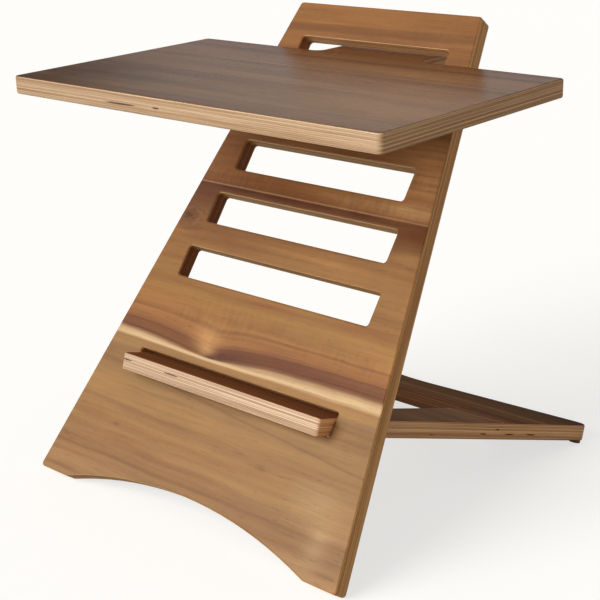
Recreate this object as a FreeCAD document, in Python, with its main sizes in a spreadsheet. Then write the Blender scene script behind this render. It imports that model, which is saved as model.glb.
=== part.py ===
import FreeCAD
import Part
import Sketcher
import math
import os

from FreeCAD import Placement, Rotation, Vector

# A laptop stand of three slot-together plywood boards.  A tapered back panel leans on a flat
# leg that passes through its lowest slot, and a shelf hangs by its tongue in the top one of
# five slots.  Each board is a lay-up: a cross-banded core between two face veneers.
# Millimetres, +Z up, +Y towards the back.  The origin is on the desk, under the middle.

# ---------------------------------------------------------------- driving dimensions
SIZES = {
    # every board
    "board": 18.0,
    "veneer": 0.6,
    "easing": 2.0,
    # back panel, measured along its slope from the desk
    "lean": 37.0,
    "panel_length": 572.0,
    "panel_foot_width": 412.0,
    "panel_top_width": 235.0,
    "panel_top_corner": 4.0,
    "panel_foot_corner": 4.0,
    "panel_arch_width": 332.0,
    "panel_arch_rise": 28.0,
    # the row of shelf slots, which grow with the panel towards the desk
    "slot_height": 35.0,
    "slot_corner": 3.5,
    "slot_pitch": 64.0,
    "lowest_slot_start": 241.5,
    "lowest_slot_width": 256.6,
    "slot_width_step": 16.4,
    # the slot that holds the leg
    "leg_slot_start": 131.0,
    "leg_slot_height": 24.8,
    "leg_slot_width": 270.4,
    "leg_slot_corner": 3.0,
    # shelf, which stands a little to the right of the middle of its slot
    "shelf_width": 460.0,
    "shelf_depth": 275.0,
    "shelf_corner": 5.0,
    "shelf_offset": 9.4,
    "tongue_width": 130.0,
    "tongue_length": 60.0,
    "tongue_corner": 6.0,
    "tongue_root": 9.0,
    # leg, measured along its slope from the front of its tongue
    "leg_slope": 17.95,
    "leg_length": 383.5,
    "leg_reach": 17.5,
    "leg_tongue_width": 268.4,
    "leg_tongue_length": 43.8,
    "leg_small_corner": 3.0,
    "leg_shoulder_width": 287.0,
    "leg_foot_width": 423.0,
    "leg_foot_corner": 10.0,
    "leg_notch_width": 392.0,
    "leg_notch_depth": 35.0,
    "leg_notch_radius": 120.0,
    "window_start": 88.0,
    "window_length": 189.0,
    "window_front_width": 214.0,
    "window_back_width": 245.0,
    "window_corner": 5.0,
    # pads under the leg
    "pad_diameter": 12.0,
    "pad_thickness": 3.2,
    "pad_spacing": 404.0,
    "pad_easing": 0.8,
}
SLOT_NAMES = ["first", "second", "third", "fourth", "top"]
TOP_SLOT = len(SLOT_NAMES) - 1
SAME_PLACE = 0.01               # how near two points count as one
SLAB_MARGIN = 20.0              # how far a laminate's slab reaches past its board

doc = FreeCAD.newDocument("LaptopStand")
sheet = doc.addObject("Spreadsheet::Sheet", "Sizes")
for row, (alias, value) in enumerate(SIZES.items(), start=1):
    sheet.set(f"A{row}", alias)
    sheet.set(f"B{row}", str(value))
    sheet.setAlias(f"B{row}", alias)
doc.recompute()


def size(alias):
    """One driving dimension, as a number."""
    return float(sheet.get(alias))


def value_of(expression):
    """The number that an expression in the sheet's sizes stands for."""
    return float(sheet.evalExpression(expression))


# ---------------------------------------------------------------- sketches
def new_sketch(body, name):
    """A sketch on the body's own XY plane, where the board's lower face lies."""
    sketch = body.newObject("Sketcher::SketchObject", name)
    plane = next(item for item in body.Origin.OriginFeatures if item.Role == "XY_Plane")
    sketch.AttachmentSupport = [(plane, "")]
    sketch.MapMode = "FlatFace"
    return sketch


def bind(sketch, constraint, expression):
    """Adds a constraint whose value is an expression in the sheet's sizes."""
    index = sketch.addConstraint(constraint)
    sketch.setExpression(f"Constraints[{index}]", expression)


def place_point(sketch, geometry, point, place):
    """Ties one point of a sketch to a pair of expressions, its distances from the origin."""
    for kind, expression in zip(("DistanceX", "DistanceY"), place):
        bind(sketch, Sketcher.Constraint(kind, -1, 1, geometry, point, value_of(expression)),
             expression)


def add_polygon(sketch, corners):
    """A closed polygon through corners that are each a pair of expressions."""
    points = [Vector(value_of(x), value_of(y), 0) for x, y in corners]
    first = sketch.GeometryCount
    count = len(points)
    for index, point in enumerate(points):
        sketch.addGeometry(Part.LineSegment(point, points[(index + 1) % count]), False)
    for index in range(count):
        following = first + (index + 1) % count
        sketch.addConstraint(Sketcher.Constraint("Coincident", first + index, 2, following, 1))
    for index, corner in enumerate(corners):
        place_point(sketch, first + index, 1, corner)


def add_circle(sketch, centre, radius):
    """A circle whose centre is a pair of expressions and whose radius is an expression."""
    x, y = centre
    middle = Vector(value_of(x), value_of(y), 0)
    circle = Part.Circle(middle, Vector(0, 0, 1), value_of(radius))
    index = sketch.addGeometry(circle, False)
    place_point(sketch, index, 3, centre)
    bind(sketch, Sketcher.Constraint("Radius", index, value_of(radius)), radius)


def mirrored(corners):
    """The corners and their mirror images, in order round a shape that is the same each side."""
    other_side = [(f"-({x})", y) for x, y in reversed(corners)]
    return corners + other_side


# ---------------------------------------------------------------- features
def pad(body, name, corners):
    """A plate of the board's thickness from an outline."""
    sketch = new_sketch(body, f"{name}_outline")
    add_polygon(sketch, corners)
    feature = body.newObject("PartDesign::Pad", name)
    feature.Profile = sketch
    feature.setExpression("Length", "Sizes.board")
    doc.recompute()
    return feature


def pocket(body, name, draw):
    """Cuts what draw adds to a sketch right through the board."""
    before = body.Shape.Volume
    sketch = new_sketch(body, f"{name}_outline")
    draw(sketch)
    feature = body.newObject("PartDesign::Pocket", name)
    feature.Profile = sketch
    feature.Type = "ThroughAll"
    feature.Reversed = True
    doc.recompute()
    if body.Shape.Volume > before - 1.0:
        raise RuntimeError(f"{name} cuts nothing")
    return feature


def upright_edges(shape, places):
    """Names of the edges that stand at the given places, each a pair of expressions."""
    spots = [Vector(value_of(x), value_of(y), 0) for x, y in places]
    names = []
    for index, edge in enumerate(shape.Edges, start=1):
        low, high = edge.Vertexes[0].Point, edge.Vertexes[-1].Point
        foot = Vector(low.x, low.y, 0)
        upright = foot.distanceToPoint(Vector(high.x, high.y, 0)) < SAME_PLACE
        if upright and any(foot.distanceToPoint(spot) < SAME_PLACE for spot in spots):
            names.append(f"Edge{index}")
    if len(names) != len(spots):
        raise RuntimeError(f"{len(spots)} corners wanted, {len(names)} found")
    return names


def round_corners(body, name, places, radius):
    """Rounds the upright edges that stand at the given places."""
    feature = body.newObject("PartDesign::Fillet", name)
    base = body.Group[-2]
    feature.Base = (base, upright_edges(base.Shape, places))
    feature.setExpression("Radius", radius)
    doc.recompute()
    return feature


def ease_faces(body):
    """Softens every edge round the board's two faces."""
    base = body.Tip
    faces = []
    for index, face in enumerate(base.Shape.Faces, start=1):
        flat = isinstance(face.Surface, Part.Plane)
        if flat and abs(face.normalAt(0, 0).z) > 1 - SAME_PLACE:
            faces.append(f"Face{index}")
    feature = body.newObject("PartDesign::Fillet", f"{body.Name}_easing")
    feature.Base = (base, faces)
    feature.setExpression("Radius", "Sizes.easing")
    doc.recompute()
    return feature


def arch_radius(width, rise):
    """The radius of an arch from its width and rise, as an expression."""
    return f"({width} ^ 2 / 4 + {rise} ^ 2) / (2 * {rise})"


# ---------------------------------------------------------------- lay-up of a board
def lamina(body, label, start, thickness, place):
    """The layer of a board between two heights, as a sub-part of its own."""
    slab = doc.addObject("Part::Box", f"{label}_slab")
    bounds = body.Shape.BoundBox
    slab.Length = bounds.XLength + 2 * SLAB_MARGIN
    slab.Width = bounds.YLength + 2 * SLAB_MARGIN
    slab.Placement.Base = Vector(bounds.XMin - SLAB_MARGIN, bounds.YMin - SLAB_MARGIN, 0)
    slab.setExpression("Height", thickness)
    slab.setExpression("Placement.Base.z", start)
    layer = doc.addObject("Part::Common", label)
    layer.Base = body
    layer.Tool = slab
    layer.Label = label
    layer.Placement = place
    return layer


def laminate(body, lower, core, upper, place):
    """Divides a finished board into its lower veneer, its core and its upper veneer."""
    return [
        lamina(body, lower, "0", "Sizes.veneer", place),
        lamina(body, core, "Sizes.veneer", "Sizes.board - 2 * Sizes.veneer", place),
        lamina(body, upper, "Sizes.board - Sizes.veneer", "Sizes.veneer", place),
    ]


# ---------------------------------------------------------------- back panel
def slot_place(number):
    """Half width, lower edge and upper edge of a shelf slot, counted up from the desk."""
    half = f"(Sizes.lowest_slot_width - {number} * Sizes.slot_width_step) / 2"
    start = f"Sizes.lowest_slot_start + {number} * Sizes.slot_pitch"
    return half, start, f"{start} + Sizes.slot_height"


def leg_slot_place():
    """Half width, lower edge and upper edge of the slot that holds the leg."""
    return ("Sizes.leg_slot_width / 2", "Sizes.leg_slot_start",
            "Sizes.leg_slot_start + Sizes.leg_slot_height")


def cut_slot(body, name, place):
    """Cuts one slot across the panel and returns its corners."""
    half, start, end = place
    corners = mirrored([(half, start), (half, end)])
    pocket(body, f"{name}_slot", lambda sketch: add_polygon(sketch, corners))
    return corners


def make_panel():
    """The tapered panel: a foot each side of an arch, five shelf slots and the leg's slot."""
    body = doc.addObject("PartDesign::Body", "panel")
    foot = ("Sizes.panel_foot_width / 2", "0")
    top = ("Sizes.panel_top_width / 2", "Sizes.panel_length")
    pad(body, "panel_plate", mirrored([foot, top]))
    radius = arch_radius("Sizes.panel_arch_width", "Sizes.panel_arch_rise")
    centre = ("0", f"Sizes.panel_arch_rise - {radius}")
    pocket(body, "panel_arch", lambda sketch: add_circle(sketch, centre, radius))
    leg_slot_corners = cut_slot(body, "leg", leg_slot_place())
    slot_corners = []
    for number, name in enumerate(SLOT_NAMES):
        slot_corners += cut_slot(body, name, slot_place(number))
    arch_end = ("Sizes.panel_arch_width / 2", "0")
    round_corners(body, "panel_top_corners", mirrored([top]), "Sizes.panel_top_corner")
    round_corners(body, "panel_feet", mirrored([foot, arch_end]), "Sizes.panel_foot_corner")
    round_corners(body, "slot_corners", slot_corners, "Sizes.slot_corner")
    round_corners(body, "leg_slot_corners", leg_slot_corners, "Sizes.leg_slot_corner")
    ease_faces(body)
    return body


# ---------------------------------------------------------------- shelf
def make_shelf():
    """The shelf: a rectangle whose back edge carries a narrower tongue."""
    body = doc.addObject("PartDesign::Body", "shelf")
    front = ("Sizes.shelf_width / 2", "0")
    shoulder = ("Sizes.shelf_width / 2", "Sizes.shelf_depth")
    root = ("Sizes.tongue_width / 2", "Sizes.shelf_depth")
    tip = ("Sizes.tongue_width / 2", "Sizes.shelf_depth + Sizes.tongue_length")
    pad(body, "shelf_plate", mirrored([front, shoulder, root, tip]))
    round_corners(body, "shelf_corners", mirrored([front, shoulder]), "Sizes.shelf_corner")
    round_corners(body, "tongue_corners", mirrored([tip]), "Sizes.tongue_corner")
    round_corners(body, "tongue_roots", mirrored([root]), "Sizes.tongue_root")
    ease_faces(body)
    return body


# ---------------------------------------------------------------- leg
def make_leg():
    """The leg: a tongue, a widening body with a window in it, and a notch between two feet."""
    body = doc.addObject("PartDesign::Body", "leg")
    front = ("Sizes.leg_tongue_width / 2", "0")
    root = ("Sizes.leg_tongue_width / 2", "Sizes.leg_tongue_length")
    shoulder = ("Sizes.leg_shoulder_width / 2", "Sizes.leg_tongue_length")
    foot = ("Sizes.leg_foot_width / 2", "Sizes.leg_length")
    notch_end = ("Sizes.leg_notch_width / 2", "Sizes.leg_length")
    notch_tip = ("0", "Sizes.leg_length - Sizes.leg_notch_depth")
    one_side = [front, root, shoulder, foot, notch_end]
    outline = mirrored(one_side)
    outline.insert(len(one_side), notch_tip)
    pad(body, "leg_plate", outline)
    window = mirrored([
        ("Sizes.window_front_width / 2", "Sizes.window_start"),
        ("Sizes.window_back_width / 2", "Sizes.window_start + Sizes.window_length"),
    ])
    pocket(body, "leg_window", lambda sketch: add_polygon(sketch, window))
    small_corners = mirrored([front, root, shoulder, notch_end])
    round_corners(body, "leg_small_corners", small_corners, "Sizes.leg_small_corner")
    round_corners(body, "leg_notch_tip", [notch_tip], "Sizes.leg_notch_radius")
    round_corners(body, "leg_feet", mirrored([foot]), "Sizes.leg_foot_corner")
    round_corners(body, "window_corners", window, "Sizes.window_corner")
    ease_faces(body)
    return body


def make_pad(label, side, centre_y, place):
    """A round pad stuck under one foot of the leg."""
    body = doc.addObject("PartDesign::Body", label)
    body.Label = label
    sketch = new_sketch(body, f"{label}_outline")
    add_circle(sketch, (f"{side} * Sizes.pad_spacing / 2", "0"), "Sizes.pad_diameter / 2")
    feature = body.newObject("PartDesign::Pad", f"{label}_disc")
    feature.Profile = sketch
    feature.Reversed = True
    feature.setExpression("Length", "Sizes.pad_thickness")
    doc.recompute()
    names = []
    for index, edge in enumerate(body.Shape.Edges, start=1):
        if edge.BoundBox.ZMax < SAME_PLACE - size("pad_thickness"):
            names.append(f"Edge{index}")
    easing = body.newObject("PartDesign::Fillet", f"{label}_easing")
    easing.Base = (feature, names)
    easing.setExpression("Radius", "Sizes.pad_easing")
    body.Placement = place.multiply(Placement(Vector(0, centre_y, 0), Rotation()))
    return body


# ---------------------------------------------------------------- where the boards meet
def edge_relief(angle):
    """How far an eased square edge falls short of its sharp corner, seen at an angle."""
    return size("easing") * (math.sin(angle) + math.cos(angle) - 1)


def slot_gap(height, angle):
    """The gap above and below a board that passes at an angle through a slot."""
    clear = height * math.cos(angle) - size("board") * math.sin(angle) + 2 * edge_relief(angle)
    return (clear - size("board")) / 2


def panel_point(along):
    """Height and depth of the front edge of a slot that starts so far along the panel."""
    height = size("board") * math.sin(LEAN) + along * math.cos(LEAN) - edge_relief(LEAN)
    return along * math.sin(LEAN), height


LEAN = math.radians(size("lean"))
SLOPE = math.radians(size("leg_slope"))
TURN = LEAN - SLOPE             # angle between the leg and the panel's square
ALONG_LEG = Vector(0, math.cos(SLOPE), -math.sin(SLOPE))
ABOVE_LEG = Vector(0, math.sin(SLOPE), math.cos(SLOPE))


def shelf_base():
    """Place of the middle of the shelf's lower front edge, its shoulders on the panel."""
    gap = slot_gap(size("slot_height"), LEAN)
    _, slot_height = panel_point(value_of(slot_place(TOP_SLOT)[1]))
    bottom = slot_height - edge_relief(LEAN) + gap
    board_foot = size("board") * math.sin(LEAN) - edge_relief(LEAN)
    panel_face = (bottom - board_foot) * math.tan(LEAN)
    shoulder = panel_face + (edge_relief(LEAN) - gap) / math.cos(LEAN)
    return Vector(size("shelf_offset"), shoulder - size("shelf_depth"), bottom)


def leg_base():
    """Place of the middle of the leg's lower front edge."""
    depth, height = panel_point(size("leg_slot_start"))
    lift = slot_gap(size("leg_slot_height"), TURN) - edge_relief(TURN)
    return Vector(0, depth, height) + ABOVE_LEG * lift - ALONG_LEG * size("leg_reach")


def pad_centre():
    """Distance along the leg to the middle of a pad whose back edge stands on the desk."""
    eased = size("pad_easing") * (math.sin(SLOPE) + math.cos(SLOPE) - 1)
    drop = leg_base().z - size("pad_thickness") * math.cos(SLOPE) + eased
    return drop / math.sin(SLOPE) - size("pad_diameter") / 2


def depth_range():
    """The foremost and the rearmost points of the stand, along Y."""
    leg_end = leg_base() + ALONG_LEG * size("leg_length") + ABOVE_LEG * size("board")
    return edge_relief(LEAN), leg_end.y - edge_relief(SLOPE)


FOREMOST, REARMOST = depth_range()
TO_ORIGIN = Vector(-size("shelf_offset"), -(FOREMOST + REARMOST) / 2, 0)
panel_foot = Vector(0, size("board") * math.cos(LEAN), -edge_relief(LEAN))
panel_turn = Rotation(Vector(1, 0, 0), 90 - size("lean"))
leg_turn = Rotation(Vector(1, 0, 0), -size("leg_slope"))
panel_place = Placement(panel_foot + TO_ORIGIN, panel_turn)
shelf_place = Placement(shelf_base() + TO_ORIGIN, Rotation())
leg_place = Placement(leg_base() + TO_ORIGIN, leg_turn)

# ---------------------------------------------------------------- assembly
sub_parts = laminate(make_panel(), "panel_back_veneer", "panel_core",
                     "panel_front_veneer", panel_place)
sub_parts += laminate(make_shelf(), "shelf_underside_veneer", "shelf_core",
                      "shelf_top_veneer", shelf_place)
sub_parts += laminate(make_leg(), "leg_underside_veneer", "leg_core",
                      "leg_top_veneer", leg_place)
sub_parts.append(make_pad("leg_pad_left", "-1", pad_centre(), leg_place))
sub_parts.append(make_pad("leg_pad_right", "1", pad_centre(), leg_place))
doc.recompute()

# ---------------------------------------------------------------- checks and export
for item in doc.Objects:
    if {"Invalid", "Error"} & set(item.State):
        raise RuntimeError(f"{item.Label} did not compute: {item.State}")
for item in sub_parts:
    if item.Shape.isNull() or not item.Shape.isValid():
        raise RuntimeError(f"{item.Label} has no valid shape")

os.makedirs("parts", exist_ok=True)
for item in sub_parts:
    item.Shape.exportStep(f"parts/{item.Label}.step")
    box = item.Shape.BoundBox
    print(f"{item.Label}: {len(item.Shape.Solids)} solid, {item.Shape.Volume / 1000:.1f} cm3, "
          f"x {box.XMin:.1f}..{box.XMax:.1f} y {box.YMin:.1f}..{box.YMax:.1f} "
          f"z {box.ZMin:.1f}..{box.ZMax:.1f}")
print(f"gaps: shelf {slot_gap(size('slot_height'), LEAN):.2f}, "
      f"leg {slot_gap(size('leg_slot_height'), TURN):.2f}, pads at {pad_centre():.1f}")
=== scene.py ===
import math
from collections import namedtuple

import bpy
from mathutils import Matrix, Vector


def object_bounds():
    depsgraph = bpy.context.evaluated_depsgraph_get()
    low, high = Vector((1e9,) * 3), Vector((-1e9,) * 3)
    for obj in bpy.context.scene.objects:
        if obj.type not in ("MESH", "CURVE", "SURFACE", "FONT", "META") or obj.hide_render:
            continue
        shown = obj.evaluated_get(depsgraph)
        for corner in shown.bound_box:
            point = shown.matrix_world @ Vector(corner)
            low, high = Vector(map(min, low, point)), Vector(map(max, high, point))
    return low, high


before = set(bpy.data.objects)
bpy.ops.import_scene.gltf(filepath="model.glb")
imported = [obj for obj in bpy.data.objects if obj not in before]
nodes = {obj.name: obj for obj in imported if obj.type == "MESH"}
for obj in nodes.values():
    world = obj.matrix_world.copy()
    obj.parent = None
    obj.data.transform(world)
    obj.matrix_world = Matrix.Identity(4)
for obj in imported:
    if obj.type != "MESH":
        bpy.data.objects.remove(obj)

# Looks of a laptop stand made of three slot-together plywood boards: lacquered veneer on the
# faces, bare sanded ply on the edges, two small pads, on a plain pale studio floor.
# Lengths are in metres.  Every wood pattern is drawn in its board's own coordinates: x across
# the stand from the board's middle, u along the board and n through its thickness.

cad_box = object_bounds()

PLIES = 11                      # layers glued together in a board
FELT = 1500.0                   # how fine the pads' felt is, in blobs a metre


# ---------------------------------------------------------------- colours
def linear(value):
    """One screen colour channel, 0 to 255, as a linear value."""
    v = value / 255
    return v / 12.92 if v <= 0.04045 else ((v + 0.055) / 1.055) ** 2.4


def screen(red, green, blue):
    """A colour given as screen values, 0 to 255."""
    return (linear(red), linear(green), linear(blue), 1.0)


# pale sapwood, also used for a painted highlight on the panel's right foot
SAPWOOD_AND_HIGHLIGHT = screen(206, 174, 130)
RED_HEART = screen(100, 50, 14)
RED_BROWN = screen(130, 64, 28)
BROWN_HEART = screen(96, 60, 34)
DARK_LINE = screen(84, 40, 14)
DARK_KNOT = screen(78, 36, 12)
TAN = screen(180, 132, 80)
KNOT_HEART = screen(74, 38, 18)
GRAIN_SHADOW = screen(190, 148, 124)
GRAIN_LIGHT = screen(255, 234, 206)
SEAM_STAIN = screen(84, 42, 22)
SEAM_LINE = screen(196, 150, 106)
PLY_GLUE = screen(98, 64, 38)
PLY_VOID = screen(52, 32, 20)
PAD_BROWN = screen(126, 88, 54)
PAD_FOOT = screen(38, 24, 16)

# what the colour of bare ply is multiplied by on the boards' sides, and the painted shade on the
# walls of openings
WARM_SIDE = (1.30, 1.14, 0.94, 1.0)
LEG_SIDE = (1.75, 1.42, 1.02, 1.0)
SLOT_END_SHADE = (0.50, 0.34, 0.26, 1.0)
WINDOW_SHADE = (0.62, 0.42, 0.28, 1.0)


# ---------------------------------------------------------------- node building
class Graph:
    """A node tree, with a short call for each kind of node it needs."""

    def __init__(self, tree):
        self.tree = tree

    def plug(self, socket, value):
        """Links a socket to an output, or sets it to a plain value."""
        if isinstance(value, bpy.types.NodeSocket):
            self.tree.links.new(value, socket)
        else:
            socket.default_value = value

    def math(self, operation, *values):
        node = self.tree.nodes.new("ShaderNodeMath")
        node.operation = operation
        for socket, value in zip(node.inputs, values):
            self.plug(socket, value)
        return node.outputs[0]

    def add(self, *values):
        total = values[0]
        for value in values[1:]:
            total = self.math("ADD", total, value)
        return total

    def times(self, *values):
        product = values[0]
        for value in values[1:]:
            product = self.math("MULTIPLY", product, value)
        return product

    def join(self, x, y, z=0.0):
        node = self.tree.nodes.new("ShaderNodeCombineXYZ")
        for socket, value in zip(node.inputs, (x, y, z)):
            self.plug(socket, value)
        return node.outputs[0]

    def split(self, vector):
        node = self.tree.nodes.new("ShaderNodeSeparateXYZ")
        self.plug(node.inputs[0], vector)
        return node.outputs

    def pattern(self, x, u, per_x, per_u, layer, detail=2.0, roughness=0.5):
        """Noise from 0 to 1 with so many blobs a metre along x and along u.

        Each layer is another pattern, and layers close together are alike.
        """
        node = self.tree.nodes.new("ShaderNodeTexNoise")
        place = self.join(self.times(x, per_x), self.times(u, per_u), layer)
        self.plug(node.inputs["Vector"], place)
        node.inputs["Scale"].default_value = 1.0
        node.inputs["Detail"].default_value = detail
        node.inputs["Roughness"].default_value = roughness
        return node.outputs["Fac"]

    def sway(self, noise, *amounts):
        """Noise from 0 to 1, centred on 0 and multiplied by the amounts."""
        return self.times(self.add(noise, -0.5), *amounts)

    def fade(self, value, low, high, to_low=0.0, to_high=1.0):
        """A smooth step from one value to another between low and high."""
        node = self.tree.nodes.new("ShaderNodeMapRange")
        node.interpolation_type = "SMOOTHSTEP"
        for name, item in (("Value", value), ("From Min", low), ("From Max", high),
                           ("To Min", to_low), ("To Max", to_high)):
            self.plug(node.inputs[name], item)
        return node.outputs["Result"]

    def offset(self, value, centre, half_width):
        """How far a value is from the centre, in half widths."""
        return self.math("DIVIDE", self.math("SUBTRACT", value, centre), half_width)

    def bell(self, spread, steepness):
        """1 where the spread is 0, falling towards 0 as it grows."""
        return self.math("EXPONENT", self.times(spread, -steepness))

    def hill(self, value, centre, half_width):
        """A bell shape: 1 at the centre and almost 0 two half widths away."""
        offset = self.offset(value, centre, half_width)
        return self.bell(self.times(offset, offset), 1.0)

    def band(self, value, centre, half_width):
        """Like a hill, with a flat top and steeper sides."""
        offset = self.offset(value, centre, half_width)
        square = self.times(offset, offset)
        return self.bell(self.times(square, square), 1.0)

    def ramp(self, value, stops):
        """A colour ramp through (position, colour) stops."""
        node = self.tree.nodes.new("ShaderNodeValToRGB")
        self.plug(node.inputs["Fac"], value)
        elements = node.color_ramp.elements
        elements[0].position, elements[0].color = stops[0]
        elements[1].position, elements[1].color = stops[-1]
        for position, colour in stops[1:-1]:
            elements.new(position).color = colour
        return node.outputs["Color"]

    def mix(self, amount, first, second, blend="MIX"):
        node = self.tree.nodes.new("ShaderNodeMix")
        node.data_type = "RGBA"
        node.blend_type = blend
        node.clamp_factor = True
        for socket, value in ((node.inputs[0], amount), (node.inputs[6], first),
                              (node.inputs[7], second)):
            self.plug(socket, value)
        return node.outputs[2]

    def tinted(self, colour, tint):
        """A colour multiplied by another one."""
        return self.mix(1.0, colour, tint, "MULTIPLY")

    def brightness(self, colour, amount):
        """A colour multiplied by a plain amount."""
        node = self.tree.nodes.new("ShaderNodeVectorMath")
        node.operation = "SCALE"
        self.plug(node.inputs[0], colour)
        self.plug(node.inputs["Scale"], amount)
        return node.outputs[0]

    def camera_ray(self):
        """1 where the camera looks straight at a surface or the sky, 0 for all other light."""
        return self.tree.nodes.new("ShaderNodeLightPath").outputs["Is Camera Ray"]


class Look(Graph):
    """A material built round one principled shader."""

    SOCKETS = {"base": "Base Color", "roughness": "Roughness", "ior": "IOR",
               "specular": "Specular IOR Level", "sheen": "Sheen Weight",
               "glow": "Emission Color", "glow_strength": "Emission Strength"}

    def __init__(self, name):
        self.material = bpy.data.materials.new(name)
        self.material.use_nodes = True
        super().__init__(self.material.node_tree)
        self.tree.nodes.clear()
        self.shader = self.tree.nodes.new("ShaderNodeBsdfPrincipled")
        output = self.tree.nodes.new("ShaderNodeOutputMaterial")
        self.tree.links.new(self.shader.outputs["BSDF"], output.inputs["Surface"])

    def surface(self, **values):
        """Sets inputs of the shader by their short names in SOCKETS."""
        for name, value in values.items():
            self.plug(self.shader.inputs[self.SOCKETS[name]], value)

    def bump(self, height, distance, strength):
        node = self.tree.nodes.new("ShaderNodeBump")
        node.inputs["Strength"].default_value = strength
        node.inputs["Distance"].default_value = distance
        self.plug(node.inputs["Height"], height)
        self.plug(self.shader.inputs["Normal"], node.outputs["Normal"])

    def board_place(self, board):
        """The x, u and n of a point on a board."""
        place = self.tree.nodes.new("ShaderNodeTexCoord")
        turn = self.tree.nodes.new("ShaderNodeMapping")
        turn.inputs["Rotation"].default_value = (board.turn, 0, 0)
        turn.inputs["Location"].default_value = (-board.middle, -board.start, -board.bottom)
        self.tree.links.new(place.outputs["Object"], turn.inputs["Vector"])
        return self.split(turn.outputs["Vector"])

    def side_on(self):
        """How much a face looks along X: 1 on the boards' side edges, 0 on their ends."""
        place = self.tree.nodes.new("ShaderNodeTexCoord")
        x = self.split(place.outputs["Normal"])[0]
        return self.times(x, x)


# ---------------------------------------------------------------- the boards' own coordinates
Board = namedtuple("Board", "middle turn start bottom length thickness")


def board_coordinates(upper, *others):
    """How far a board is turned about X, where it starts, and its length and thickness."""
    faces = nodes[upper].data.polygons
    normal = max(faces, key=lambda face: face.area).normal
    if normal.z < 0:
        normal = -normal
    along = normal.cross(Vector((1, 0, 0)))
    points = [vertex.co for name in (upper, *others) for vertex in nodes[name].data.vertices]
    across = [point.x for point in points]
    lengthwise = [point.dot(along) for point in points]
    through = [point.dot(normal) for point in points]
    return Board(middle=(min(across) + max(across)) / 2, turn=math.atan2(-along.z, along.y),
                 start=min(lengthwise), bottom=min(through),
                 length=max(lengthwise) - min(lengthwise), thickness=max(through) - min(through))


panel = board_coordinates("panel_front_veneer", "panel_core", "panel_back_veneer")
shelf = board_coordinates("shelf_top_veneer", "shelf_core", "shelf_underside_veneer")
leg = board_coordinates("leg_top_veneer", "leg_core", "leg_underside_veneer")


# ---------------------------------------------------------------- lacquered veneer
# a stripe along the grain, which climbs by its slope from left to right
Streak = namedtuple("Streak", "u half_width slope strength tint")
# a soft-edged stain
Patch = namedtuple("Patch", "x u half_x half_u strength tint")
# a knot that the grain flows round
Knot = namedtuple("Knot", "x u radius")
# a place above a knot where the grain dips, with how far that is felt to the left and right
Dip = namedtuple("Dip", "x u left right depth")
# a band with a cross figure that catches the light
Curl = namedtuple("Curl", "u half_height strength")

GRAIN_DRIFT = 0.006             # how far the grain strays over a board, in long sweeps
GRAIN_WANDER = 0.004            # and in short ones
BEND_ACROSS = 2.6               # how far from a knot the grain bends, in knot radii
BEND_ALONG = 1.5
STAIN_DEPTH = 0.0085            # how far down the stain below a seam reaches
SEAM_HALF_WIDTH = 0.0008


def dipped(g, x, u, grain, dip):
    """The grain with a dip that fades out above it and to its sides."""
    aside = g.add(x, -dip.x)
    reach = g.math("MAXIMUM", g.times(aside, 1 / dip.right), g.times(aside, -1 / dip.left))
    fall = g.bell(g.math("SQRT", g.add(g.times(reach, reach), 0.01)), 1.0)
    height = g.times(g.fade(u, dip.u - 0.004, dip.u + 0.002),
                     g.fade(u, dip.u + 0.055, dip.u + 0.010))
    return g.add(grain, g.times(fall, height, dip.depth))


def knotted(g, x, u, grain, knot, seed):
    """The grain flowing round a knot, and how dark the knot is."""
    across = g.offset(x, knot.x, knot.radius * BEND_ACROSS)
    along = g.offset(u, knot.u, knot.radius * BEND_ALONG)
    spread = g.add(g.times(across, across), g.times(along, along))
    bent = g.add(grain, g.times(g.add(u, -knot.u), g.bell(spread, 0.8), -0.8))
    torn = g.pattern(x, u, per_x=90, per_u=120, layer=seed + 0.7)
    ragged = g.add(g.math("SQRT", spread), g.sway(torn, 1.3))
    swirl = g.fade(g.math("SINE", g.times(ragged, 15.0)), -0.2, 0.9)
    swirl = g.times(swirl, g.bell(spread, 1.2), 0.8)
    eye = g.bell(g.times(ragged, ragged), 5.0)
    return bent, g.math("MAXIMUM", eye, swirl)


def ringed(g, x, grain, board, zones, seed, contrast):
    """The colours of the zones along a board, with darker and paler growth rings."""
    rings = g.pattern(x, grain, per_x=1.4, per_u=36, layer=seed + 7.7, detail=4.0, roughness=0.66)
    colour = g.ramp(g.math("DIVIDE", grain, board.length),
                    [(u / board.length, tint) for u, tint in zones.items()])
    dark = g.fade(rings, 0.58, 0.34, 0.0, 0.45 * contrast)
    pale = g.fade(rings, 0.54, 0.72, 0.0, 0.30 * contrast)
    colour = g.mix(dark, colour, g.tinted(colour, GRAIN_SHADOW))
    return g.mix(pale, colour, g.mix(1.0, colour, GRAIN_LIGHT, "SOFT_LIGHT"))


def streaked(g, x, grain, lines, colour, streak):
    """A colour with one streak on it, frayed along its sides."""
    place = g.add(grain, g.times(x, -streak.slope))
    frayed = g.add(place, g.sway(lines, streak.half_width * 0.7))
    cover = g.times(g.band(frayed, streak.u, streak.half_width), streak.strength)
    return g.mix(g.times(cover, g.fade(lines, 0.3, 0.62, 0.66, 1.0)), colour, streak.tint)


def patched(g, x, grain, lines, loose, colour, patch):
    """A colour with one stain on it, broken up by the grain."""
    across = g.offset(x, patch.x, patch.half_x)
    along = g.offset(grain, patch.u, patch.half_u)
    spread = g.add(g.times(across, across), g.times(along, along), g.sway(loose, 1.6))
    cover = g.times(g.math("MINIMUM", g.bell(spread, 0.9), 1.0), patch.strength)
    return g.mix(g.times(cover, g.fade(lines, 0.2, 0.7, 0.6, 1.0)), colour, patch.tint)


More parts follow.
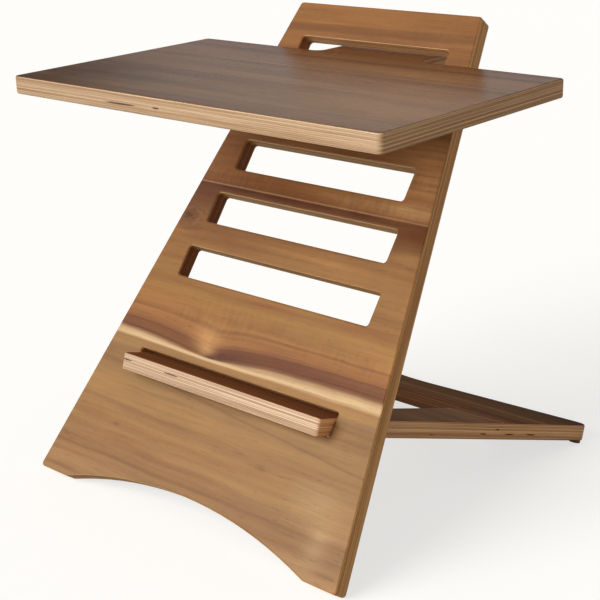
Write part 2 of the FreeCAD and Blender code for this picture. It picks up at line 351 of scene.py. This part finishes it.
def seamed(g, u, loose, colour, seam):
    """A colour with the joint between two leaves of veneer: a pale line, stained below."""
    below = g.times(g.fade(u, seam - STAIN_DEPTH, seam - 0.002),
                    g.fade(u, seam + 0.0004, seam - 0.0002))
    uneven = g.fade(loose, 0.35, 0.6, 0.35, 0.85)
    colour = g.mix(g.times(below, uneven), colour, SEAM_STAIN)
    return g.mix(g.times(g.hill(u, seam, SEAM_HALF_WIDTH), 0.6), colour, SEAM_LINE)


def curled(g, x, u, curls, seed):
    """The light and dark of the cross figure, strongest in the curls."""
    strength = 0.10
    for curl in curls:
        strength = g.add(strength, g.times(g.hill(u, curl.u, curl.half_height), curl.strength))
    waves = g.pattern(x, u, per_x=210, per_u=46, layer=seed + 9.2, roughness=0.6)
    areas = g.pattern(x, u, per_x=9, per_u=15, layer=seed + 2.2, detail=1.0)
    return g.sway(waves, g.fade(areas, 0.34, 0.60), strength)


def veneer(name, board, zones, seed, streaks=(), patches=(), knot=None, seam=None, dip=None,
           curls=(), contrast=1.0, roughness=0.42, specular=0.22):
    """Veneer with its grain across the stand.

    zones are colours by their u along the board, seam is the u of a joint between two leaves,
    and contrast is the strength of the growth rings.
    """
    g = Look(name)
    x, u, _ = g.board_place(board)

    drift = g.pattern(x, u, per_x=3, per_u=5, layer=seed)
    wander = g.pattern(x, u, per_x=13, per_u=26, layer=seed + 3.1)
    grain = g.add(u, g.sway(drift, GRAIN_DRIFT), g.sway(wander, GRAIN_WANDER))
    if dip:
        grain = dipped(g, x, u, grain, dip)
    if knot:
        grain, heart = knotted(g, x, u, grain, knot, seed)
    lines = g.pattern(x, grain, per_x=4.5, per_u=190, layer=seed + 1.9, detail=3.0, roughness=0.6)
    fibres = g.pattern(x, grain, per_x=34, per_u=760, layer=seed + 5.3, roughness=0.6)
    loose = g.pattern(x, u, per_x=22, per_u=60, layer=seed + 6.6, detail=3.0, roughness=0.6)

    colour = ringed(g, x, grain, board, zones, seed, contrast)
    for streak in streaks:
        colour = streaked(g, x, grain, lines, colour, streak)
    for patch in patches:
        colour = patched(g, x, grain, lines, loose, colour, patch)
    if seam:
        colour = seamed(g, u, loose, colour, seam)
    if knot:
        colour = g.mix(g.times(heart, 0.9), colour, KNOT_HEART)

    mottle = g.pattern(x, u, per_x=10, per_u=22, layer=seed + 8.8, detail=3.0, roughness=0.6)
    pores = g.pattern(x, grain, per_x=110, per_u=1100, layer=seed + 4.4, detail=1.0)
    pores = g.fade(pores, 0.66, 0.76)
    shade = g.add(1.0, curled(g, x, u, curls, seed), g.sway(mottle, 0.36),
                  g.sway(lines, 0.44 * contrast), g.sway(fibres, 0.26), g.times(pores, -0.24))
    worn = g.pattern(x, u, per_x=9, per_u=9, layer=seed + 6.1, detail=3.0)
    uneven = g.add(roughness - 0.05, g.times(worn, 0.09), g.times(fibres, 0.05), g.times(pores, 0.2))
    g.surface(base=g.brightness(colour, shade), roughness=uneven, ior=1.48, specular=specular)
    relief = g.add(g.times(fibres, 0.5), g.times(lines, 0.5), g.times(pores, -1.0))
    g.bump(relief, distance=0.00012, strength=0.35)
    return g.material


# ---------------------------------------------------------------- sanded ply edges
# a gap between two plies, along "x" or "u", at a place on that edge and a height in the board
Void = namedtuple("Void", "along place half_length height")
# openings from one u to another whose walls get painted shade: everywhere for an all_round of 1, and
# at their ends only for 0; they lie within half_width of the middle, less the taper times u
Cut = namedtuple("Cut", "low high half_width taper all_round tint")

VOID_HALF_HEIGHT = 0.00075
VOID_RAGGED = 0.0012            # how far a void strays from its height


def cracked(g, x, u, n, inside, ply, ripple, voids, seed):
    """How open the edge is: small random gaps, and the voids."""
    gap = g.pattern(x, u, per_x=21, per_u=21, layer=g.add(g.times(ply, 5.7), seed), detail=1.0)
    within = g.fade(g.math("ABSOLUTE", g.add(inside, -0.5)), 0.4, 0.25)
    crack = g.times(g.fade(gap, 0.77, 0.80), within)
    directions = {"x": x, "u": u}
    for void in voids:
        long = g.hill(directions[void.along], void.place, void.half_length)
        height = g.add(g.sway(ripple, VOID_RAGGED), void.height)
        thick = g.hill(n, height, VOID_HALF_HEIGHT)
        crack = g.math("MAXIMUM", crack, g.fade(g.times(long, thick), 0.25, 0.6))
    return crack


def walls_shaded(g, x, u, side, colour, cut):
    """A colour with painted shade on the walls of the openings, darker where little light reaches.
    """
    from_middle = g.add(g.math("ABSOLUTE", x), g.times(u, cut.taper))
    walls = g.times(g.fade(from_middle, cut.half_width + 0.004, cut.half_width - 0.004),
                    g.fade(u, cut.low, cut.low + 0.001), g.fade(u, cut.high, cut.high - 0.001),
                    g.add(g.times(side, 1.0 - cut.all_round), cut.all_round))
    return g.mix(walls, colour, g.tinted(colour, cut.tint))


def ply_edge(name, board, seed, pale, tan, voids=(), cut=None, side_tint=WARM_SIDE):
    """The stack of plies that a board's edges show, each between the tan and the pale colour."""
    g = Look(name)
    x, u, n = g.board_place(board)
    side = g.side_on()

    # the plies run a little uneven; every other one is laid crosswise
    waviness = g.pattern(x, u, per_x=11, per_u=11, layer=seed)
    ripple = g.pattern(x, u, per_x=60, per_u=60, layer=seed + 2.7, detail=1.0)
    height = g.add(n, g.sway(waviness, 0.0011), g.sway(ripple, 0.0003))
    level = g.times(height, PLIES / board.thickness)
    ply = g.math("FLOOR", level)
    inside = g.math("FRACT", level)
    cross = g.math("MODULO", g.add(ply, 2 * PLIES), 2.0)

    # plies differ in tone, and each turns from long grain to end grain on the boards' sides
    own = g.pattern(x, u, per_x=1.5, per_u=1.5, layer=g.add(g.times(ply, 7.31), seed), detail=1.0)
    end = g.math("ABSOLUTE", g.math("SUBTRACT", cross, side))
    long_grain = g.pattern(x, u, per_x=12, per_u=12, layer=g.times(height, 900.0),
                           detail=3.0, roughness=0.6)
    end_grain = g.pattern(x, u, per_x=600, per_u=600, layer=g.times(height, 600.0))
    tone = g.add(g.times(end, -0.30), g.sway(own, 1.5), g.sway(long_grain, 0.75),
                 g.sway(end_grain, end, 0.3))
    colour = g.mix(g.fade(tone, -0.55, 0.35), tan, pale)

    # glue lines, each darker in some stretches than in others
    to_glue = g.math("MINIMUM", inside, g.math("SUBTRACT", 1.0, inside))
    stretches = g.pattern(x, u, per_x=7, per_u=7, layer=g.add(g.times(ply, 3.3), seed))
    glued = g.times(g.fade(to_glue, 0.20, 0.03), g.fade(stretches, 0.40, 0.62, 0.12, 0.8))
    colour = g.mix(glued, colour, PLY_GLUE)
    crack = cracked(g, x, u, n, inside, ply, ripple, voids, seed)
    colour = g.mix(g.times(crack, 0.88), colour, PLY_VOID)
    colour = g.mix(side, colour, g.tinted(colour, side_tint))
    # painted shade on the walls of the openings
    if cut:
        colour = walls_shaded(g, x, u, side, colour, cut)

    # the boards' left ends are a little duller, and sanding leaves a fine speckle
    dull = g.fade(x, -0.2, 0.2, 0.83, 0.95)
    speck = g.pattern(x, u, per_x=420, per_u=420, layer=g.times(n, 900.0))
    colour = g.brightness(colour, g.add(dull, g.times(speck, 0.24)))
    g.surface(base=colour, roughness=g.add(0.46, g.times(speck, 0.16)), ior=1.45, specular=0.25)
    relief = g.add(g.times(long_grain, 0.5), g.times(glued, -0.5), g.times(crack, -3.0))
    g.bump(relief, distance=0.00025, strength=0.5)
    return g.material


def pad_felt():
    """Dull brown pad, darker where it meets the desk."""
    g = Look("pad")
    x, y, z = g.split(g.tree.nodes.new("ShaderNodeTexCoord").outputs["Object"])
    felt = g.pattern(x, y, per_x=FELT, per_u=FELT, layer=g.times(z, FELT), detail=3.0, roughness=0.7)
    rise = g.add(z, g.sway(felt, 0.0008))
    colour = g.ramp(g.fade(rise, 0.0004, 0.0022), [(0.0, PAD_FOOT), (1.0, PAD_BROWN)])
    g.surface(base=g.brightness(colour, g.add(0.75, g.times(felt, 0.5))), roughness=0.85, sheen=0.2)
    g.bump(felt, distance=0.0003, strength=0.5)
    return g.material


def dress(node, material):
    """Gives one CAD node its finished material."""
    for slot in nodes[node].material_slots:
        slot.material = material


# ---------------------------------------------------------------- the panel
# warm brown, darkest just below the seam above the second slot; the stop at 0.420, under the shelf,
# is partly painted light that lifts the shelf's shadow
panel_zones = {
    0.000: screen(150, 112, 70), 0.080: screen(150, 110, 62), 0.150: screen(142, 107, 64),
    0.192: screen(154, 104, 54), 0.225: screen(152, 108, 54), 0.290: screen(140, 96, 50),
    0.340: screen(108, 66, 36), 0.357: screen(140, 90, 50), 0.372: screen(142, 92, 52),
    0.420: screen(156, 106, 66), 0.500: screen(136, 90, 48), 0.572: screen(142, 96, 52),
}
# pale sapwood just above the leg's slot with red-brown heartwood over it, faint lines on the
# lower part, and a brown streak at the very top
panel_streaks = [
    Streak(u=0.1685, half_width=0.0056, slope=0.000, strength=0.92, tint=SAPWOOD_AND_HIGHLIGHT),
    Streak(u=0.1815, half_width=0.0080, slope=0.008, strength=0.66, tint=RED_HEART),
    Streak(u=0.1778, half_width=0.0010, slope=0.010, strength=0.70, tint=DARK_LINE),
    Streak(u=0.1870, half_width=0.0010, slope=0.012, strength=0.45, tint=DARK_LINE),
    Streak(u=0.2020, half_width=0.0015, slope=0.006, strength=0.40, tint=RED_HEART),
    Streak(u=0.1200, half_width=0.0014, slope=-0.08, strength=0.35, tint=BROWN_HEART),
    Streak(u=0.0860, half_width=0.0030, slope=-0.03, strength=0.20, tint=BROWN_HEART),
    Streak(u=0.0370, half_width=0.0016, slope=0.010, strength=0.25, tint=BROWN_HEART),
    Streak(u=0.5440, half_width=0.0055, slope=0.008, strength=0.65, tint=BROWN_HEART),
]
# the small knot in the sapwood: dark wood to its right, its heart, and pale wood round it
small_knot = [
    Patch(x=0.070, u=0.1820, half_x=0.120, half_u=0.0070, strength=0.62, tint=screen(92, 42, 12)),
    Patch(x=-0.010, u=0.1790, half_x=0.026, half_u=0.0070, strength=0.70, tint=DARK_KNOT),
    Patch(x=-0.053, u=0.1930, half_x=0.016, half_u=0.0110, strength=0.85, tint=screen(194, 142, 84)),
    Patch(x=-0.040, u=0.1768, half_x=0.007, half_u=0.0030, strength=1.00, tint=screen(60, 26, 8)),
    Patch(x=-0.027, u=0.1800, half_x=0.008, half_u=0.0045, strength=0.85, tint=DARK_KNOT),
    Patch(x=-0.050, u=0.1840, half_x=0.008, half_u=0.0060, strength=0.50, tint=screen(196, 148, 92)),
]
# dark marks at the ragged knot on the left
ragged_knot_marks = [
    Patch(x=-0.132, u=0.2990, half_x=0.018, half_u=0.0022, strength=0.55, tint=BROWN_HEART),
    Patch(x=-0.150, u=0.3180, half_x=0.014, half_u=0.0020, strength=0.50, tint=BROWN_HEART),
]
# painted light high on the right under the shelf, lifting its shadow, then pale wood on the right
# round the third slot
pale_wood_and_painted_light = [
    # painted light: lifts the shelf's shadow high on the right
    Patch(x=0.135, u=0.4020, half_x=0.040, half_u=0.0340, strength=0.85, tint=screen(222, 160, 104)),
    Patch(x=0.125, u=0.3600, half_x=0.060, half_u=0.0050, strength=0.80, tint=screen(214, 166, 112)),
    Patch(x=0.060, u=0.3620, half_x=0.060, half_u=0.0080, strength=0.40, tint=TAN),
]
# red-brown and tan wood from below the first slot up to the seam
middle_marks = [
    Patch(x=0.010, u=0.2350, half_x=0.026, half_u=0.0030, strength=0.55, tint=RED_BROWN),
    Patch(x=0.130, u=0.2360, half_x=0.040, half_u=0.0050, strength=0.45, tint=RED_BROWN),
    Patch(x=-0.152, u=0.3370, half_x=0.035, half_u=0.0120, strength=0.50, tint=RED_HEART),
    Patch(x=0.147, u=0.3370, half_x=0.026, half_u=0.0090, strength=0.65, tint=RED_HEART),
    Patch(x=0.145, u=0.3130, half_x=0.030, half_u=0.0100, strength=0.50, tint=TAN),
    Patch(x=-0.100, u=0.2930, half_x=0.045, half_u=0.0110, strength=0.35, tint=RED_HEART),
    Patch(x=0.060, u=0.2920, half_x=0.060, half_u=0.0090, strength=0.30, tint=TAN),
]
# a painted highlight on the right foot, flecks over the arch, and red lines low on both feet
highlight_and_foot_marks = [
    # painted highlight: a soft pale glint on the right foot
    Patch(x=0.168, u=0.0340, half_x=0.012, half_u=0.0200, strength=0.30, tint=SAPWOOD_AND_HIGHLIGHT),
    Patch(x=0.150, u=0.0700, half_x=0.030, half_u=0.0180, strength=0.20, tint=SAPWOOD_AND_HIGHLIGHT),
    Patch(x=-0.126, u=0.0705, half_x=0.005, half_u=0.0016, strength=0.60, tint=BROWN_HEART),
    Patch(x=0.075, u=0.0800, half_x=0.009, half_u=0.0022, strength=0.50, tint=BROWN_HEART),
    Patch(x=0.043, u=0.0870, half_x=0.007, half_u=0.0014, strength=0.40, tint=BROWN_HEART),
    Patch(x=-0.180, u=0.0080, half_x=0.040, half_u=0.0020, strength=0.50, tint=RED_HEART),
    Patch(x=0.186, u=0.0120, half_x=0.016, half_u=0.0024, strength=0.50, tint=RED_HEART),
]
panel_curls = [
    Curl(u=0.207, half_height=0.014, strength=0.45), Curl(u=0.361, half_height=0.011, strength=0.70),
    Curl(u=0.395, half_height=0.022, strength=0.40), Curl(u=0.550, half_height=0.020, strength=0.25),
]
dress("panel_front_veneer", veneer(
    "panel_front_wood", panel, panel_zones, seed=1.0, streaks=panel_streaks,
    patches=small_knot + ragged_knot_marks + pale_wood_and_painted_light + middle_marks + highlight_and_foot_marks,
    knot=Knot(x=-0.146, u=0.3080, radius=0.0085), seam=0.3498,
    dip=Dip(x=-0.042, u=0.166, left=0.070, right=0.045, depth=0.0115), curls=panel_curls))

back_zones = {
    0.000: screen(150, 108, 66), 0.200: screen(158, 114, 70),
    0.400: screen(138, 94, 56), 0.572: screen(146, 102, 60),
}
back_streaks = [
    Streak(u=0.252, half_width=0.014, slope=0.03, strength=0.7, tint=SAPWOOD_AND_HIGHLIGHT),
    Streak(u=0.276, half_width=0.009, slope=0.03, strength=0.7, tint=RED_HEART),
    Streak(u=0.110, half_width=0.008, slope=-0.02, strength=0.4, tint=BROWN_HEART),
]
dress("panel_back_veneer", veneer(
    "panel_back_wood", panel, back_zones, seed=14.0, streaks=back_streaks,
    knot=Knot(x=0.085, u=0.100, radius=0.006), curls=[Curl(u=0.16, half_height=0.03, strength=0.4)]))

# the slot ends get painted shade
dress("panel_core", ply_edge(
    "panel_edge", panel, seed=2.0, pale=screen(232, 188, 132), tan=screen(174, 126, 80),
    cut=Cut(low=0.20, high=0.56, half_width=0.185, taper=0.14, all_round=0.0, tint=SLOT_END_SHADE)))


# ---------------------------------------------------------------- the shelf
shelf_zones = {
    0.000: screen(128, 96, 66), 0.100: screen(130, 95, 66), 0.165: screen(140, 102, 70),
    0.180: screen(112, 76, 50), 0.210: screen(134, 94, 62), 0.275: screen(116, 74, 44),
    0.335: screen(122, 80, 48),
}
shelf_streaks = [
    Streak(u=0.2430, half_width=0.0042, slope=0.004, strength=0.60, tint=screen(62, 34, 16)),
    Streak(u=0.1905, half_width=0.0012, slope=0.002, strength=0.60, tint=TAN),
]
shelf_patches = [
    Patch(x=-0.200, u=0.060, half_x=0.080, half_u=0.075, strength=0.85, tint=screen(76, 44, 20)),
    Patch(x=-0.110, u=0.060, half_x=0.050, half_u=0.014, strength=0.50, tint=screen(62, 40, 22)),
    Patch(x=0.170, u=0.085, half_x=0.110, half_u=0.070, strength=0.60, tint=screen(172, 130, 92)),
    Patch(x=0.110, u=0.215, half_x=0.060, half_u=0.012, strength=0.35, tint=TAN),
]
dress("shelf_top_veneer", veneer(
    "shelf_top_wood", shelf, shelf_zones, seed=21.0, streaks=shelf_streaks, patches=shelf_patches,
    curls=[Curl(u=0.20, half_height=0.05, strength=0.3)], contrast=1.2, roughness=0.26,
    specular=0.45))

under_zones = {0.000: screen(144, 102, 62), 0.150: screen(136, 92, 56), 0.335: screen(148, 106, 68)}
dress("shelf_underside_veneer", veneer("shelf_underside_wood", shelf, under_zones, seed=33.0))

shelf_voids = [
    Void(along="x", place=-0.073, half_length=0.022, height=0.0072),
    Void(along="x", place=-0.025, half_length=0.005, height=0.0085),
]
dress("shelf_core", ply_edge("shelf_edge", shelf, seed=11.0, pale=screen(212, 182, 148),
                             tan=screen(164, 128, 94), voids=shelf_voids))


# ---------------------------------------------------------------- the leg and its pads
leg_zones = {
    0.000: screen(136, 84, 48), 0.140: screen(160, 118, 82), 0.225: screen(160, 116, 78),
    0.245: screen(144, 92, 50), 0.300: screen(134, 90, 46), 0.384: screen(92, 62, 28),
}
leg_streaks = [
    Streak(u=0.2620, half_width=0.0120, slope=0.05, strength=0.5, tint=screen(84, 50, 28)),
    Streak(u=0.3000, half_width=0.0060, slope=0.05, strength=0.4, tint=TAN),
    Streak(u=0.2058, half_width=0.0014, slope=0.21, strength=0.7, tint=screen(226, 190, 150)),
]
dress("leg_top_veneer", veneer("leg_top_wood", leg, leg_zones, seed=41.0, streaks=leg_streaks,
                               roughness=0.62, specular=0.08))
dress("leg_underside_veneer", veneer("leg_underside_wood", leg, under_zones, seed=52.0))

# voids in the tongue's front edge, and then in the leg's sides
leg_voids = [
    Void(along="x", place=-0.128, half_length=0.008, height=0.0114),
    Void(along="x", place=-0.062, half_length=0.011, height=0.0110),
    Void(along="u", place=0.218, half_length=0.005, height=0.0062),
    Void(along="u", place=0.238, half_length=0.003, height=0.0110),
    Void(along="u", place=0.257, half_length=0.007, height=0.0060),
    Void(along="u", place=0.290, half_length=0.008, height=0.0060),
]
# the walls of the leg's window get painted shade, where the panel's shadow falls
dress("leg_core", ply_edge(
    "leg_edge", leg, seed=23.0, pale=screen(218, 188, 158), tan=screen(172, 136, 106),
    voids=leg_voids, side_tint=LEG_SIDE,
    cut=Cut(low=0.08, high=0.28, half_width=0.110, taper=-0.08, all_round=1.0, tint=WINDOW_SHADE)))

pad_material = pad_felt()
for pad_node in ("leg_pad_left", "leg_pad_right"):
    dress(pad_node, pad_material)


# ---------------------------------------------------------------- studio floor
FLOOR_RADIUS = 12.0
FLOOR_SIDES = 96
FLOOR_GAP = 0.0002              # keeps the floor clear of the feet that stand on it
FLOOR_GLOW = 0.72               # seen by the camera only, so it lights nothing

bpy.ops.mesh.primitive_circle_add(vertices=FLOOR_SIDES, radius=FLOOR_RADIUS, fill_type="NGON",
                                  location=(0, 0, cad_box[0].z - FLOOR_GAP))
floor = bpy.context.object
floor.name = "studio_floor"
floor_look = Look("studio_floor")
floor_look.surface(base=screen(170, 169, 167), glow=screen(250, 249, 247),
                   glow_strength=floor_look.times(floor_look.camera_ray(), FLOOR_GLOW),
                   roughness=0.9, specular=0.1)
floor.data.materials.append(floor_look.material)


# ---------------------------------------------------------------- light
# one very soft light from the left of the front, like a large window
SUN_TOWARDS = Vector((0.42, 1.0, -0.54)).normalized()
SUN_WIDTH = math.radians(44)
SUN_STRENGTH = 3.5
SUN_DISTANCE = 2.5

sun_data = bpy.data.lights.new("window_light", "SUN")
sun_data.energy = SUN_STRENGTH
sun_data.angle = SUN_WIDTH
sun_data.color = (1.0, 0.985, 0.96)
sun = bpy.data.objects.new("window_light", sun_data)
sun.rotation_euler = SUN_TOWARDS.to_track_quat("-Z", "Y").to_euler()
sun.location = (cad_box[0] + cad_box[1]) / 2 - SUN_TOWARDS * SUN_DISTANCE
bpy.context.scene.collection.objects.link(sun)

# dim all round, with a wall low down behind the stand that the lacquer mirrors: dark at its left
# end and bright over the rest
SKY_LEVEL = 0.27
WALL_DARK = 0.02
WALL_BRIGHT = 0.40

world = bpy.data.worlds.new("studio")
world.use_nodes = True
sky = Graph(world.node_tree)
right, back, up = sky.split(sky.tree.nodes.new("ShaderNodeTexCoord").outputs["Generated"])
wall = sky.times(sky.fade(back, 0.10, 0.40), sky.fade(up, 0.46, 0.28))
wall_light = sky.fade(right, -0.79, -0.70, WALL_DARK, WALL_BRIGHT)
around = sky.add(sky.times(sky.math("SUBTRACT", 1.0, wall), SKY_LEVEL), sky.times(wall, wall_light))
background = sky.tree.nodes["Background"]
background.inputs["Color"].default_value = (1.0, 0.988, 0.978, 1.0)
sky.plug(background.inputs["Strength"], sky.math("MAXIMUM", around, sky.camera_ray()))
bpy.context.scene.world = world


# ---------------------------------------------------------------- camera
CAMERA_PLACE = (0.8594, -1.0029, 0.6567)
CAMERA_YAW = math.radians(42.900)
CAMERA_PITCH = math.radians(-19.996)
CAMERA_ROLL = math.radians(1.938)

camera = bpy.data.objects.new("camera", bpy.data.cameras.new("camera"))
bpy.context.scene.collection.objects.link(camera)
camera.data.sensor_width = 36.0
camera.data.lens = 80.66
camera.data.shift_x = 0.0516
camera.data.shift_y = 0.0128
camera.data.clip_start = 0.05
camera.data.clip_end = 60.0
camera.matrix_world = (Matrix.Translation(CAMERA_PLACE)
                       @ Matrix.Rotation(CAMERA_YAW, 4, "Z")
                       @ Matrix.Rotation(CAMERA_PITCH + math.pi / 2, 4, "X")
                       @ Matrix.Rotation(-CAMERA_ROLL, 4, "Z"))
bpy.context.scene.camera = camera
bpy.context.scene.view_settings.view_transform = "Standard"
